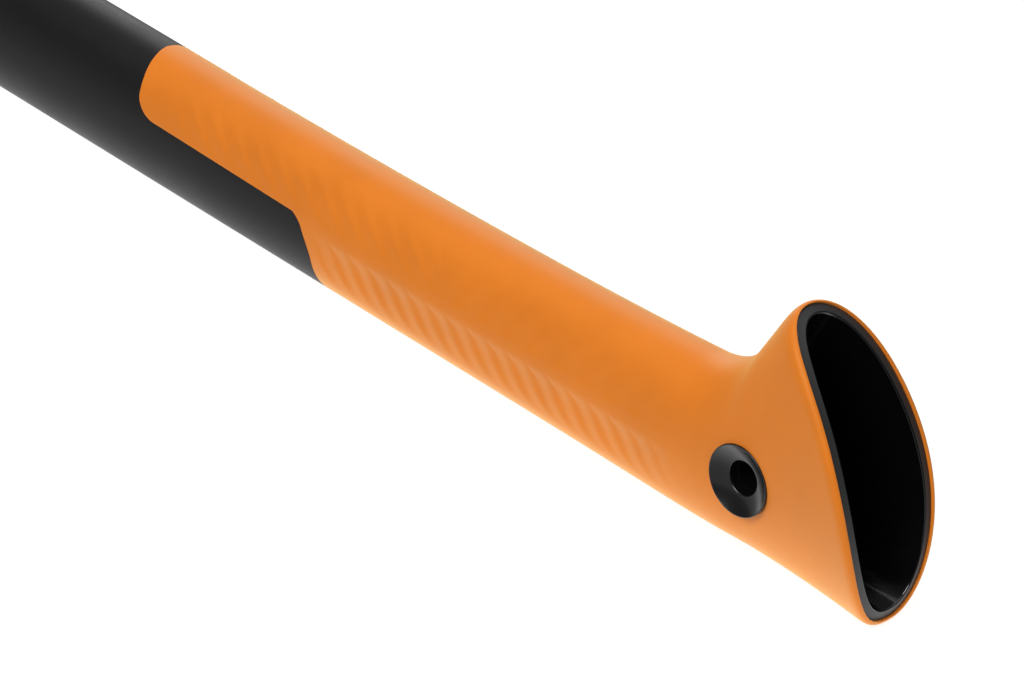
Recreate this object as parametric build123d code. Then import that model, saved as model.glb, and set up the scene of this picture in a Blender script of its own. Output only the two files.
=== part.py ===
from build123d import *

import os
from math import atan, cos, degrees, pi, radians, sin, sqrt, tan

# A felling axe: a forged head, moulded into the end of a hollow glass-fibre
# nylon handle, with a soft skin over the grip and an eyelet for a lanyard.
#
# The handle is drawn in its own frame. X runs along it to the butt, Z points to
# the belly, the side that the cutting edge faces, and the eyelet is at X = 0.
# The head is drawn upright on its poll. place() then leans the handle so that
# the axe rests on the poll and on the back of the butt.

# ---- driving dimensions, millimetres -------------------------------------
OVERALL_LENGTH = 710.0      # toe of the blade to the tip of the butt

GRIP_HALF_HEIGHT = 18.0     # straight part of the handle, back to belly
GRIP_HALF_WIDTH = 11.95
BELLY_EXPONENT = 2.27       # how square the section is, 2 being an ellipse
BACK_EXPONENT = 2.44
SWELL_START = -200.0        # the belly starts to swell here, towards the hook
SWELL_SQUARE = 5.0          # swell at the eyelet, from the square term
SWELL_FOURTH = 1.3          # and from the fourth power

HOOK_START = -25.0          # where the belly turns up into the hook
HOOK_RADIUS = 22.7
HOOK_ANGLE = 63.3           # slope of the hook's front face at its tip
HOOK_EXPONENT = 2.0         # the section is rounder on top of the hook
HOOK_ROUND = 5.0            # and fully so from here
BUTT_WIDEN_START = -70.0
BUTT_HALF_WIDTH = 13.0      # at the eyelet
MOUTH_HALF_WIDTH = 18.4     # where the flare meets the mouth
MOUTH_X = 35.0
FLARE_STRAIGHT = 0.35       # share of the flare that grows evenly
BACK_FLARE_START = -20.0
BACK_FLARE = 1.75
BACK_FLARE_LENGTH = 58.0
CUT_CENTRE = (-34.9, -14.4)  # the mouth is cut on a cylinder across the handle
CUT_RADIUS = 74.3

WALL = 4.4                  # handle wall, skin included
SKIN = 1.65                 # soft grip skin
BUTT_FORM_START = -224.0    # straight and even between the neck and here
BUTT_FORM_END = 48.0        # the sections run on past the mouth cut
BUTT_SPACING = 8.0
NECK_SPACING = 10.0
HOUSING_HALF_HEIGHT = 32.0
HOUSING_HALF_WIDTH = 16.5
HOUSING_EXPONENT = 4.0

TONGUE_END = -215.0         # grip skin: end of the tongue along the belly
TONGUE_EDGE = 3.2           # lower edge of the tongue
TONGUE_SLANT = 6.0          # the tongue's end leans by this much
TONGUE_RISE = 0.7           # its lower edge rises a little to the end
TONGUE_TIP = 1.0            # radius of its lower corner
STEP_BEND = 6.0             # radii where the edge steps down to the back
STEP_TURN = 4.0
STEP_EASE = 12.0
WRAP_START = -145.0         # the skin goes all round from here to the mouth

EYELET_Z = 4.4
EYELET_RADIUS = 9.1
EYELET_FACE = 13.5          # rim of the eyelet from the middle plane
FLANGE_DEPTH = 2.4
SOCKET_BORE = 4.35
SOCKET_WALL = 1.1
PLUG_BORE = 3.7
PLUG_END = 9.0              # how far the plug's sleeve reaches past the middle
FLARE_DEPTH = 1.8           # bell mouth of each half
FLARE_RADIUS = 8.3

HEAD_DEPTH = 176.0          # poll to cutting edge
POLL_LENGTH = 56.0          # along the handle
POLL_HALF_WIDTH = 11.5
EDGE_LENGTH = 112.0
EDGE_BULGE = 11.0           # how much the cutting edge is curved
EDGE_HALF_WIDTH = 0.25
BEVEL_HEIGHT = 20.0
BEVEL_HALF_WIDTH = 2.3
CHEEK_TOP = 72.0            # the full thickness of the head ends here
THROAT_Z = 95.0             # the blade starts to spread here
POLL_CHAMFER = 1.5
LOCK_SIZE = 32.0            # recess in each cheek that the handle fills
LOCK_DEPTH = 2.0
THROAT_IN = 3.0             # the head narrows by this from poll to throat
THROAT_LEAN = 0.03          # slope of the throat where the blade starts to spread
HEEL_DROP = 4.0             # the heel ends a little above the toe
WEDGE_LEAN = 0.08           # slope of the cheeks where the bevel starts

# ---- where the head sits, and the lean when the axe stands on its poll ---
BUTT_LOW_X = 39.2
BUTT_LOW_Z = -19.86
HEAD_X = BUTT_LOW_X - OVERALL_LENGTH + EDGE_LENGTH / 2  # middle of the poll
SHELL_TOP = HEAD_X - 35.0   # far end of the housing round the head
HOUSING_START = HEAD_X + 34.0  # full size from here up
NECK_START = HEAD_X + 110.0  # the handle starts to grow here
NECK_END = NECK_START + 10.0  # the neck's loft meets the straight shaft
CAVITY_TOP = HEAD_X + 78.0  # the hollow ends below the head
POLL_DROP = 48.0            # poll face below the handle's middle line
LEAN = atan((POLL_DROP + BUTT_LOW_Z) / (BUTT_LOW_X - HEAD_X))
LIFT = BUTT_LOW_X * sin(LEAN) - BUTT_LOW_Z * cos(LEAN)

SECTION_POINTS = 32
CLEAR = 90.0                # reaches outside the handle on every side, for cuts


def ramp(value, start, end):
    """0 at start, 1 at end, with level ends."""
    share = min(max((value - start) / (end - start), 0.0), 1.0)
    return share * share * (3.0 - 2.0 * share)


def straight_belly(x):
    swell = max((x - SWELL_START) / abs(SWELL_START), 0.0)
    return GRIP_HALF_HEIGHT + SWELL_SQUARE * swell**2 + SWELL_FOURTH * swell**4


def belly(x):
    """Height of the belly line: swelling grip, round turn, steep hook."""
    if x <= HOOK_START:
        grow = ramp(x, NECK_START, HOUSING_START)
        return straight_belly(x) + (HOUSING_HALF_HEIGHT - GRIP_HALF_HEIGHT) * grow
    start_slope = straight_belly(HOOK_START) - straight_belly(HOOK_START - 1.0)
    start_angle = atan(start_slope)
    centre_x = HOOK_START - HOOK_RADIUS * sin(start_angle)
    centre_z = straight_belly(HOOK_START) + HOOK_RADIUS * cos(start_angle)
    end_angle = radians(HOOK_ANGLE)
    end_x = centre_x + HOOK_RADIUS * sin(end_angle)
    if x <= end_x:
        return centre_z - sqrt(HOOK_RADIUS**2 - (x - centre_x) ** 2)
    return centre_z - HOOK_RADIUS * cos(end_angle) + (x - end_x) * tan(end_angle)


def back(x):
    """Height of the back line, which flares a little at the butt."""
    flare = max((x - BACK_FLARE_START) / BACK_FLARE_LENGTH, 0.0)
    grow = ramp(x, NECK_START, HOUSING_START)
    return -GRIP_HALF_HEIGHT - BACK_FLARE * flare**2 - (HOUSING_HALF_HEIGHT - GRIP_HALF_HEIGHT) * grow


def half_width(x):
    grow = ramp(x, NECK_START, HOUSING_START)
    width = GRIP_HALF_WIDTH + (HOUSING_HALF_WIDTH - GRIP_HALF_WIDTH) * grow
    width += (BUTT_HALF_WIDTH - GRIP_HALF_WIDTH) * ramp(x, BUTT_WIDEN_START, 0.0)
    flare = max(x / MOUTH_X, 0.0)
    spread = FLARE_STRAIGHT * flare + (1.0 - FLARE_STRAIGHT) * flare**2
    return width + (MOUTH_HALF_WIDTH - BUTT_HALF_WIDTH) * spread


def section(x, inset):
    """Superellipse across the handle at x, inset by a wall thickness."""
    step = 0.01
    top_slope = (belly(x + step) - belly(x)) / step
    top = belly(x) - inset * sqrt(1.0 + top_slope**2)
    bottom = back(x) + inset
    width = half_width(x) - inset
    middle = (top + bottom) / 2.0
    height = (top - bottom) / 2.0
    square = (HOUSING_EXPONENT - BELLY_EXPONENT) * ramp(x, NECK_START, HOUSING_START)
    hook = (HOOK_EXPONENT - BELLY_EXPONENT) * ramp(x, HOOK_START, HOOK_ROUND)
    points = []
    for i in range(SECTION_POINTS):
        angle = 2.0 * pi * i / SECTION_POINTS - pi / 2.0  # the seam is at the back
        c, s = cos(angle), sin(angle)
        power = 2.0 / ((BELLY_EXPONENT + square + hook) if s > 0 else (BACK_EXPONENT + square))
        y = width * abs(c) ** power * (1 if c > 0 else -1)
        z = middle + height * abs(s) ** power * (1 if s > 0 else -1)
        points.append((x, y, z))
    return Face(Wire(Edge.make_spline([Vector(*p) for p in points], periodic=True)))


def run_of_sections(start, end, spacing, inset):
    """Loft through evenly spaced sections, which keeps the surface calm."""
    count = round((end - start) / spacing)
    places = [start + (end - start) * i / count for i in range(count + 1)]
    return loft([section(x, inset) for x in places])


def tube(start, inset):
    """The handle's form from start to past the mouth, inset by a wall."""
    neck = run_of_sections(start, NECK_END, NECK_SPACING, inset)
    shaft = extrude(section(NECK_END, inset), BUTT_FORM_START - NECK_END, dir=(1, 0, 0))
    butt = run_of_sections(BUTT_FORM_START, BUTT_FORM_END, BUTT_SPACING, inset)
    return neck + shaft + butt


def mouth_cut():
    """Everything inside the cylinder that shapes the open butt."""
    centre_x, centre_z = CUT_CENTRE
    drum = Cylinder(CUT_RADIUS, CLEAR).rotate(Axis.Z, 180).rotate(Axis.X, 90)
    drum = drum.translate((centre_x, 0, centre_z))
    stem = Box(OVERALL_LENGTH, CLEAR, 4 * CLEAR)
    return drum + stem.translate((centre_x - OVERALL_LENGTH / 2, 0, centre_z))


def grip_region():
    """Side view of the soft skin, through the full width of the handle."""
    far_top = (TONGUE_END - TONGUE_SLANT / 4, 2 * CLEAR)
    tongue_top = (TONGUE_END - TONGUE_SLANT / 4, 2 * GRIP_HALF_HEIGHT)
    tongue_corner = (TONGUE_END + 3 * TONGUE_SLANT / 4, TONGUE_EDGE + TONGUE_RISE)
    step_top = (WRAP_START - STEP_BEND, TONGUE_EDGE)
    step_low = (WRAP_START, -GRIP_HALF_HEIGHT / 2)
    under_back = (WRAP_START + 1.5, -CLEAR)
    outline = FilletPolyline(
        tongue_top,
        tongue_corner,
        step_top,
        step_low,
        under_back,
        (CLEAR, -CLEAR),
        (CLEAR, 2 * CLEAR),
        far_top,
        radius=[TONGUE_TIP, STEP_BEND, STEP_TURN, STEP_EASE] + 4 * [TONGUE_TIP],
        close=True,
    )
    side = make_face(outline)
    return extrude(Plane.XZ * side, CLEAR, both=True)


def ring(profile):
    """Turn a (radius, y) profile about the eyelet's axis."""
    turned = revolve(make_face(Polyline(*profile, close=True)), Axis.Y)
    return turned.translate((0, 0, EYELET_Z))


def eyelet_half(bore, wall, reach, side):
    """Bell-mouthed flange and sleeve, on the side of +Y or -Y."""
    steps = 8
    profile = []
    for i in range(steps + 1):
        angle = pi / 2 * i / steps
        radius = bore + (FLARE_RADIUS - bore) * (1 - cos(angle))
        depth = FLARE_DEPTH * (1 - sin(angle))
        profile.append((radius, side * (EYELET_FACE - depth)))
    profile.append((EYELET_RADIUS, side * EYELET_FACE))
    profile.append((EYELET_RADIUS, side * (EYELET_FACE - FLANGE_DEPTH)))
    profile.append((bore + wall, side * (EYELET_FACE - FLANGE_DEPTH)))
    profile.append((bore + wall, side * reach))
    profile.append((bore, side * reach))
    return ring(profile)


def eyelet_socket():
    """Outer half, on the -Y side: its sleeve takes the other one."""
    return eyelet_half(SOCKET_BORE, SOCKET_WALL, -(EYELET_FACE - FLANGE_DEPTH), -1)


def eyelet_plug():
    """Inner half, on the +Y side: a thinner sleeve pressed into the socket."""
    return eyelet_half(PLUG_BORE, SOCKET_BORE - PLUG_BORE, -PLUG_END, 1)


def eyelet_seat():
    """Space that the eyelet takes out of the handle."""
    seat = Cylinder(SOCKET_BORE + SOCKET_WALL, CLEAR)
    pocket = Cylinder(EYELET_RADIUS, CLEAR)
    for side in (-1, 1):
        seat += pocket.translate((0, 0, side * (EYELET_FACE - FLANGE_DEPTH + CLEAR / 2)))
    return seat.rotate(Axis.X, 90).translate((0, 0, EYELET_Z))


def axe_head():
    """Forged head: wedge thickness one way, spreading blade the other."""
    half_poll = POLL_LENGTH / 2
    half_edge = EDGE_LENGTH / 2
    corner_z = HEAD_DEPTH - EDGE_BULGE
    left = HEAD_X - half_poll
    right = HEAD_X + half_poll
    throat = half_poll - THROAT_IN
    toe = (HEAD_X - half_edge, corner_z)
    heel = (HEAD_X + half_edge, corner_z - HEEL_DROP)
    with BuildSketch(Plane.XZ) as side:
        with BuildLine():
            Line((left, 0), (right, 0))
            Line((right, 0), (HEAD_X + throat, THROAT_Z))
            TangentArc((HEAD_X + throat, THROAT_Z), heel, tangent=(-THROAT_LEAN, 1))
            ThreePointArc(heel, (HEAD_X, HEAD_DEPTH), toe)
            TangentArc((HEAD_X - throat, THROAT_Z), toe, tangent=(THROAT_LEAN, 1))
            Line((HEAD_X - throat, THROAT_Z), (left, 0))
        make_face()
    blade = extrude(side.sketch, CLEAR, both=True)
    bevel_z = HEAD_DEPTH - BEVEL_HEIGHT
    with BuildSketch(Plane.YZ.offset(HEAD_X)) as front:
        with BuildLine():
            Line((-POLL_HALF_WIDTH, 0), (POLL_HALF_WIDTH, 0))
            Line((POLL_HALF_WIDTH, 0), (POLL_HALF_WIDTH, CHEEK_TOP))
            Spline(
                (POLL_HALF_WIDTH, CHEEK_TOP),
                (BEVEL_HALF_WIDTH, bevel_z),
                tangents=((0, 1), (-WEDGE_LEAN, 1)),
            )
            Line((BEVEL_HALF_WIDTH, bevel_z), (EDGE_HALF_WIDTH, HEAD_DEPTH))
            Line((EDGE_HALF_WIDTH, HEAD_DEPTH), (-EDGE_HALF_WIDTH, HEAD_DEPTH))
            Line((-EDGE_HALF_WIDTH, HEAD_DEPTH), (-BEVEL_HALF_WIDTH, bevel_z))
            Spline(
                (-BEVEL_HALF_WIDTH, bevel_z),
                (-POLL_HALF_WIDTH, CHEEK_TOP),
                tangents=((-WEDGE_LEAN, -1), (0, -1)),
            )
            Line((-POLL_HALF_WIDTH, CHEEK_TOP), (-POLL_HALF_WIDTH, 0))
        make_face()
    wedge = extrude(front.sketch, CLEAR, both=True)
    head = blade & wedge
    poll_edges = head.edges().filter_by(lambda edge: edge.center().Z < POLL_CHAMFER / 2)
    head = chamfer(poll_edges, POLL_CHAMFER)
    recess = Box(LOCK_SIZE, 2 * LOCK_DEPTH, LOCK_SIZE)
    for side_y in (-POLL_HALF_WIDTH, POLL_HALF_WIDTH):
        head -= recess.translate((HEAD_X, side_y, POLL_DROP))
    return head


def place(solid):
    """Lean the handle onto its rest, butt down."""
    return solid.rotate(Axis.Y, degrees(LEAN)).translate((0, 0, LIFT))


def build():
    mouth = mouth_cut()
    grip = grip_region()
    seat = eyelet_seat()
    outer = tube(SHELL_TOP, 0.0) & mouth
    under_skin = tube(SHELL_TOP, SKIN) & mouth
    cavity = tube(CAVITY_TOP, WALL)
    skin = (outer - under_skin - seat) & grip
    bare_wall = (outer - cavity) - grip
    covered_wall = (under_skin - cavity) & grip
    shell = bare_wall + covered_wall - seat
    head = axe_head()
    parts = {
        "axe_head": head,
        "handle_shell": place(shell) - head,
        "soft_grip": place(skin),
        "eyelet_socket": place(eyelet_socket()),
        "eyelet_plug": place(eyelet_plug()),
    }
    return parts


def main():
    os.makedirs("parts", exist_ok=True)
    parts = build()
    boxes = [shape.bounding_box() for shape in parts.values()]
    low_x = min(box.min.X for box in boxes)
    high_x = max(box.max.X for box in boxes)
    shift = (-(low_x + high_x) / 2, 0, 0)
    print("length", high_x - low_x, "lean", degrees(LEAN))
    print("eyelet at X", shift[0] + EYELET_Z * sin(LEAN), "Z", LIFT + EYELET_Z * cos(LEAN))
    for name, shape in parts.items():
        moved = shape.translate(shift)
        solids = moved.solids()
        print(name, len(solids), "solids", round(moved.volume / 1000, 1), "cm3")
        export_step(solids[0] if len(solids) == 1 else Compound(solids), f"parts/{name}.step")


main()
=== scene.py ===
# %% [markdown]
# # A felling axe, from butt to edge
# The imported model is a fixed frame: it gives every piece its place and its
# largest size. This lesson builds the visible pieces around it, one cell at a
# time, and gives each its finish.

# %% Load the frame
import math

import bmesh
import bpy
import numpy as np
from mathutils import Matrix, Vector


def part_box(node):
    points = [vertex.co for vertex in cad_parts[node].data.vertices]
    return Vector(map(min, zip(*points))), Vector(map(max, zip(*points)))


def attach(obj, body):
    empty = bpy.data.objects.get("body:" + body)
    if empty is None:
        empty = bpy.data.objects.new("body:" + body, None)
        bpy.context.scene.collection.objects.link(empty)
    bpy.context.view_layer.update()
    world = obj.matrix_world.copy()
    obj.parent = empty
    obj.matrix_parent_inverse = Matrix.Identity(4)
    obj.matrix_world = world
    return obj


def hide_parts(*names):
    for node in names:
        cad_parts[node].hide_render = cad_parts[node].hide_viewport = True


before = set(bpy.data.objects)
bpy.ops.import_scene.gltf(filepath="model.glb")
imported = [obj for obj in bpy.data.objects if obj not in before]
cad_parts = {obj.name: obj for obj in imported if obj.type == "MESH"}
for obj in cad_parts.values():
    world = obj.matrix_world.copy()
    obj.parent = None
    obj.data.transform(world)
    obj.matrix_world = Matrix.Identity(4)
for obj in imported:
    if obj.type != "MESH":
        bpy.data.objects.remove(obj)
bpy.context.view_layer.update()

# %% [markdown]
# ## The handle's own frame
# The axe stands on its poll and on its butt, so the handle leans a little. All
# of the handle's forms are simpler in a frame that leans with it: X along the
# handle to the butt, Z to the belly, millimetres, zero at the eyelet's axis.
# One matrix then places every one of them.

# %% Handle frame
MM = 0.001
LEAN = math.radians(2.4638)
EYELET_Z = 4.4
EYELET_SEAT = 9.13          # radius of the hole that the eyelet sits in
low, high = (Vector(corner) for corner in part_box("eyelet_socket"))
eyelet_centre = Vector(((low.x + high.x) / 2, 0.0, (low.z + high.z) / 2))
turn = Matrix.Rotation(LEAN, 4, "Y")
handle_origin = eyelet_centre - (turn @ Vector((0, 0, EYELET_Z * MM)))
HANDLE = Matrix.Translation(handle_origin) @ turn @ Matrix.Scale(MM, 4)
HANDLE_ARRAY = np.array(HANDLE)
print("handle origin", tuple(round(c, 5) for c in handle_origin))


def to_row(points):
    """Points of the handle's frame, in millimetres, to metres in the row frame."""
    return points @ HANDLE_ARRAY[:3, :3].T + HANDLE_ARRAY[:3, 3]


# %% [markdown]
# ## The outline of the handle
# A moulded handle is a smooth tube whose section changes slowly. It could be
# drawn with a few loops and a subdivision surface, but then nothing would tell
# us where the wall is. Here a section is a superellipse, an oval that can be
# made squarer, and its top, bottom and width are short formulas of the place
# along the handle. The same formulas, moved in by the wall, give the hollow.

# %% Outline formulas
HALF_HEIGHT = 18.0
HALF_WIDTH = 11.95
BELLY_POWER = 2.27
BACK_POWER = 2.44
SWELL_START = -200.0
SWELL_LENGTH = 200.0
SWELL_SQUARE = 5.0          # swell at the eyelet, from the square term
SWELL_FOURTH = 1.3          # and from the fourth power
HOOK_START = -25.0
HOOK_RADIUS = 22.7
HOOK_ANGLE = math.radians(63.3)
HOOK_POWER = 2.0
HOOK_ROUND = 5.0            # the hook's section is an oval from here
BACK_FLARE = 1.75
BACK_FLARE_START = -20.0
BACK_FLARE_LENGTH = 58.0
BUTT_HALF_WIDTH = 13.0
BUTT_WIDEN_START = -70.0
MOUTH_X = 35.0
MOUTH_FLARE = 5.4
FLARE_STRAIGHT = 0.35       # share of the flare that grows evenly
SKIN = 1.65
WALL = 4.4
HEAD_X = -614.8
NECK_START = HEAD_X + 110.0
HOUSING_START = HEAD_X + 34.0
SHELL_TOP = HEAD_X - 35.0
HOUSING_GROWTH = 14.0       # the housing is this much taller, each way
HOUSING_HALF_WIDTH = 16.5
HOUSING_POWER = 4.0
SLOPE_STEP = 0.01           # short steps along and round the handle
NORMAL_STEP = 0.05
TURN_STEP = 0.01


def ramp(value, start, end):
    """0 at start, 1 at end, with level ends."""
    share = np.clip((value - start) / (end - start), 0.0, 1.0)
    return share * share * (3.0 - 2.0 * share)


def swelling_belly(x):
    swell = np.maximum((x - SWELL_START) / SWELL_LENGTH, 0.0)
    return HALF_HEIGHT + SWELL_SQUARE * swell**2 + SWELL_FOURTH * swell**4


hook_tilt = math.atan(float(swelling_belly(HOOK_START) - swelling_belly(HOOK_START - 1.0)))
hook_centre_x = HOOK_START - HOOK_RADIUS * math.sin(hook_tilt)
hook_centre_z = float(swelling_belly(HOOK_START)) + HOOK_RADIUS * math.cos(hook_tilt)
hook_end_x = hook_centre_x + HOOK_RADIUS * math.sin(HOOK_ANGLE)


def belly(x):
    """Belly line: the grip swells, turns up in an arc, and runs up the hook."""
    swell = swelling_belly(x) + HOUSING_GROWTH * ramp(x, NECK_START, HOUSING_START)
    inside = np.maximum(HOOK_RADIUS**2 - (x - hook_centre_x) ** 2, 0.0)
    arc = hook_centre_z - np.sqrt(inside)
    rise = (x - hook_end_x) * math.tan(HOOK_ANGLE)
    straight = hook_centre_z - HOOK_RADIUS * math.cos(HOOK_ANGLE) + rise
    return np.where(x <= HOOK_START, swell, np.where(x <= hook_end_x, arc, straight))


def back(x):
    flare = np.maximum((x - BACK_FLARE_START) / BACK_FLARE_LENGTH, 0.0)
    growth = HOUSING_GROWTH * ramp(x, NECK_START, HOUSING_START)
    return -HALF_HEIGHT - BACK_FLARE * flare**2 - growth


def half_width(x):
    housing = (HOUSING_HALF_WIDTH - HALF_WIDTH) * ramp(x, NECK_START, HOUSING_START)
    butt = (BUTT_HALF_WIDTH - HALF_WIDTH) * ramp(x, BUTT_WIDEN_START, 0.0)
    flare = np.maximum(x / MOUTH_X, 0.0)
    spread = FLARE_STRAIGHT * flare + (1.0 - FLARE_STRAIGHT) * flare**2
    return HALF_WIDTH + housing + butt + MOUTH_FLARE * spread


def rounder(x):
    """How much rounder the belly's side of the section gets at the hook."""
    return (BELLY_POWER - HOOK_POWER) * ramp(x, HOOK_START, HOOK_ROUND)


def handle_point(x, turn_angle, inset=0.0):
    """Point on the handle's section at x. An angle of 90 degrees is the belly."""
    slope = (belly(x + SLOPE_STEP) - belly(x)) / SLOPE_STEP
    top = belly(x) - inset * np.sqrt(1.0 + slope**2)
    bottom = back(x) + inset
    width = half_width(x) - inset
    middle = (top + bottom) / 2.0
    height = (top - bottom) / 2.0
    sine = np.sin(turn_angle)
    cosine = np.cos(turn_angle)
    square = ramp(x, NECK_START, HOUSING_START)
    squarer = (HOUSING_POWER - BELLY_POWER) * square
    upper = BELLY_POWER + squarer - rounder(x)
    lower = BACK_POWER + squarer
    power = 2.0 / np.where(sine > 0, upper, lower)
    y = width * np.sign(cosine) * np.abs(cosine) ** power
    z = middle + height * np.sign(sine) * np.abs(sine) ** power
    return np.stack([x + 0 * y, y, z], axis=-1)


def handle_normal(x, turn_angle):
    """Outward direction, from two short steps along the surface."""
    ahead = handle_point(x + NORMAL_STEP, turn_angle)
    along = ahead - handle_point(x - NORMAL_STEP, turn_angle)
    turned_on = handle_point(x, turn_angle + TURN_STEP)
    round_it = turned_on - handle_point(x, turn_angle - TURN_STEP)
    normal = np.cross(along, round_it)
    normal = normal / np.maximum(np.linalg.norm(normal, axis=-1, keepdims=True), 1e-9)
    outward = handle_point(x, turn_angle) - np.stack([x, 0 * x, 0 * x + 2.0], axis=-1)
    facing = np.sign(np.sum(normal * outward, axis=-1, keepdims=True))
    return normal * np.where(facing == 0, 1.0, facing)


print("belly at the eyelet", float(belly(np.array(0.0))))

# %% [markdown]
# ## The mouth
# The butt is open, and its rim isn't flat: it is cut on a large cylinder that
# lies across the handle, so it looks round from the side. For each line that
# runs down the handle, the place where it meets the cylinder is found by
# halving an interval again and again.

# %% Where each line meets the mouth
MOUTH_CENTRE = (-34.9, -14.4)
MOUTH_RADIUS = 74.3
SEARCH_LOW = -60.0
SEARCH_HIGH = 48.0
HALVINGS = 40


def mouth_x(turn_angle, inset=0.0, short=0.0):
    """Where a line at this angle reaches the mouth's cylinder."""
    low_x = np.full_like(turn_angle, SEARCH_LOW)
    high_x = np.full_like(turn_angle, SEARCH_HIGH)
    for _ in range(HALVINGS):
        middle = (low_x + high_x) / 2.0
        point = handle_point(middle, turn_angle, inset)
        reach = np.hypot(point[..., 0] - MOUTH_CENTRE[0], point[..., 2] - MOUTH_CENTRE[1])
        outside = reach > MOUTH_RADIUS - short
        high_x = np.where(outside, middle, high_x)
        low_x = np.where(outside, low_x, middle)
    return (low_x + high_x) / 2.0


tips = mouth_x(np.array([math.pi / 2, -math.pi / 2]))
print("hook tip and butt tip at", tips)

# %% [markdown]
# ## Where the skin ends
# The soft skin wraps the handle up to a stepped line, and a tongue of it runs
# on along the belly. The two halves of that line are easy to write if the
# handle is split along the tongue's lower edge: a belly band and a back band.
# Each band is a grid whose lines start exactly on the line, so skin and shell
# share a clean edge.

# %% Bands of lines
TONGUE_CORNER_X = -205.5
TONGUE_EDGE = 3.1
TONGUE_RISE = 0.8           # the edge rises a little towards the tongue's end,
TONGUE_RISE_LENGTH = 50.0   # over this length
TONGUE_CORNER = 0.22        # share of the tongue's end that its corner takes
TONGUE_BULGE = 6.2
TONGUE_SLANT = 3.4
STEP_X = -154.0
WRAP_CORNER = 0.30
WRAP_BULGE = 7.0
WRAP_POWER = 0.8
WRAP_SLANT = 3.0
WRAP_SLANT_SHARES = (0.15, 0.8)
LINE_CROWDING = 1.25        # over 1, lines crowd towards the tongue's edge


def tongue_edge(x):
    """Height of the tongue's lower edge."""
    return TONGUE_EDGE + TONGUE_RISE * np.clip((STEP_X - x) / TONGUE_RISE_LENGTH, 0.0, 1.0)


def edge_angle(x):
    """Section angle at the tongue's edge."""
    top = belly(x)
    bottom = back(x)
    share = (tongue_edge(x) - (top + bottom) / 2.0) / ((top - bottom) / 2.0)
    power = np.where(share > 0, BELLY_POWER - rounder(x), BACK_POWER)
    return np.arcsin(np.sign(share) * np.abs(share) ** (power / 2.0))


def tongue_start(share):
    """Start of the tongue, from its edge (0) to the belly (1)."""
    corner = np.minimum(share / TONGUE_CORNER, 1.0)
    bulge = TONGUE_BULGE * np.sqrt(corner * (2.0 - corner))
    return TONGUE_CORNER_X - bulge - TONGUE_SLANT * share


def wrap_start(share):
    """Start of the wrap, from the tongue's edge (0) to the back (1)."""
    near = np.minimum(share / WRAP_CORNER, 1.0)
    bulge = WRAP_BULGE * (1.0 - (1.0 - near) ** 2) ** WRAP_POWER
    return STEP_X + bulge + WRAP_SLANT * ramp(share, *WRAP_SLANT_SHARES)


def band_angles(x, share, band):
    """Section angles of a band's lines. Shares run 0 to 1 on the +Y side, then back."""
    edge = edge_angle(x)
    goal = math.pi / 2 if band == "belly" else -math.pi / 2
    part = 1.0 - np.abs(share - 1.0)
    angle = edge + (goal - edge) * part
    return np.where(share <= 1.0, angle, math.pi - angle)


def even_shares(count):
    """Lines across a band, closer together near its edges, over both sides."""
    one = np.linspace(0.0, 1.0, count) ** LINE_CROWDING
    return np.concatenate([one, 2.0 - one[-2::-1]])


print("tongue end", tongue_start(np.array([0.0, 0.1, 0.3, 1.0])))

# %% [markdown]
# ## From grids to meshes
# Every form here is a sheet of rows and columns, so one helper turns a grid of
# points into a mesh. It welds the points that two sheets share.

# %% Mesh helpers
SHARP_EDGE = 42.0           # degrees: a fold tighter than this isn't shaded round


def grid_faces(rows, columns, first):
    faces = []
    for r in range(rows - 1):
        for c in range(columns - 1):
            a = first + r * columns + c
            faces.append((a, a + 1, a + columns + 1, a + columns))
    return faces


def make_piece(name, grids, weld=5e-6):
    """One mesh from several (points in metres, material number) grids."""
    points = []
    faces = []
    numbers = []
    for grid, number in grids:
        rows, columns = grid.shape[:2]
        new_faces = grid_faces(rows, columns, sum(len(p) for p in points))
        faces += new_faces
        numbers += [number] * len(new_faces)
        points.append(grid.reshape(-1, 3))
    mesh = bpy.data.meshes.new(name)
    mesh.from_pydata(np.concatenate(points).tolist(), [], faces)
    mesh.polygons.foreach_set("material_index", numbers)
    piece = bpy.data.objects.new(name, mesh)
    bpy.context.scene.collection.objects.link(piece)
    welded = weld_points(mesh, weld)
    mesh.shade_smooth()
    mesh.set_sharp_from_angle(angle=math.radians(SHARP_EDGE))
    print(name, len(mesh.vertices), "points, welded", welded)
    return piece


def weld_points(mesh, distance):
    work = bmesh.new()
    work.from_mesh(mesh)
    before = len(work.verts)
    bmesh.ops.remove_doubles(work, verts=work.verts, dist=distance)
    bmesh.ops.dissolve_degenerate(work, edges=work.edges, dist=distance / 10)
    bmesh.ops.recalc_face_normals(work, faces=work.faces)
    after = len(work.verts)
    work.to_mesh(mesh)
    work.free()
    return before - after


# %% [markdown]
# ## Round holes
# The eyelet sits in a round seat, but the lines of the grid run straight past
# it. A Boolean modifier could cut the seat and would leave long thin faces.
# Here the faces inside the circle go, and the points left on the border slide
# out to the circle, which keeps the grid's own flow.

# %% Round holes in a sheet
HOLE_BORDER = 1.2           # points out to this many radii slide to the circle


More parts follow.
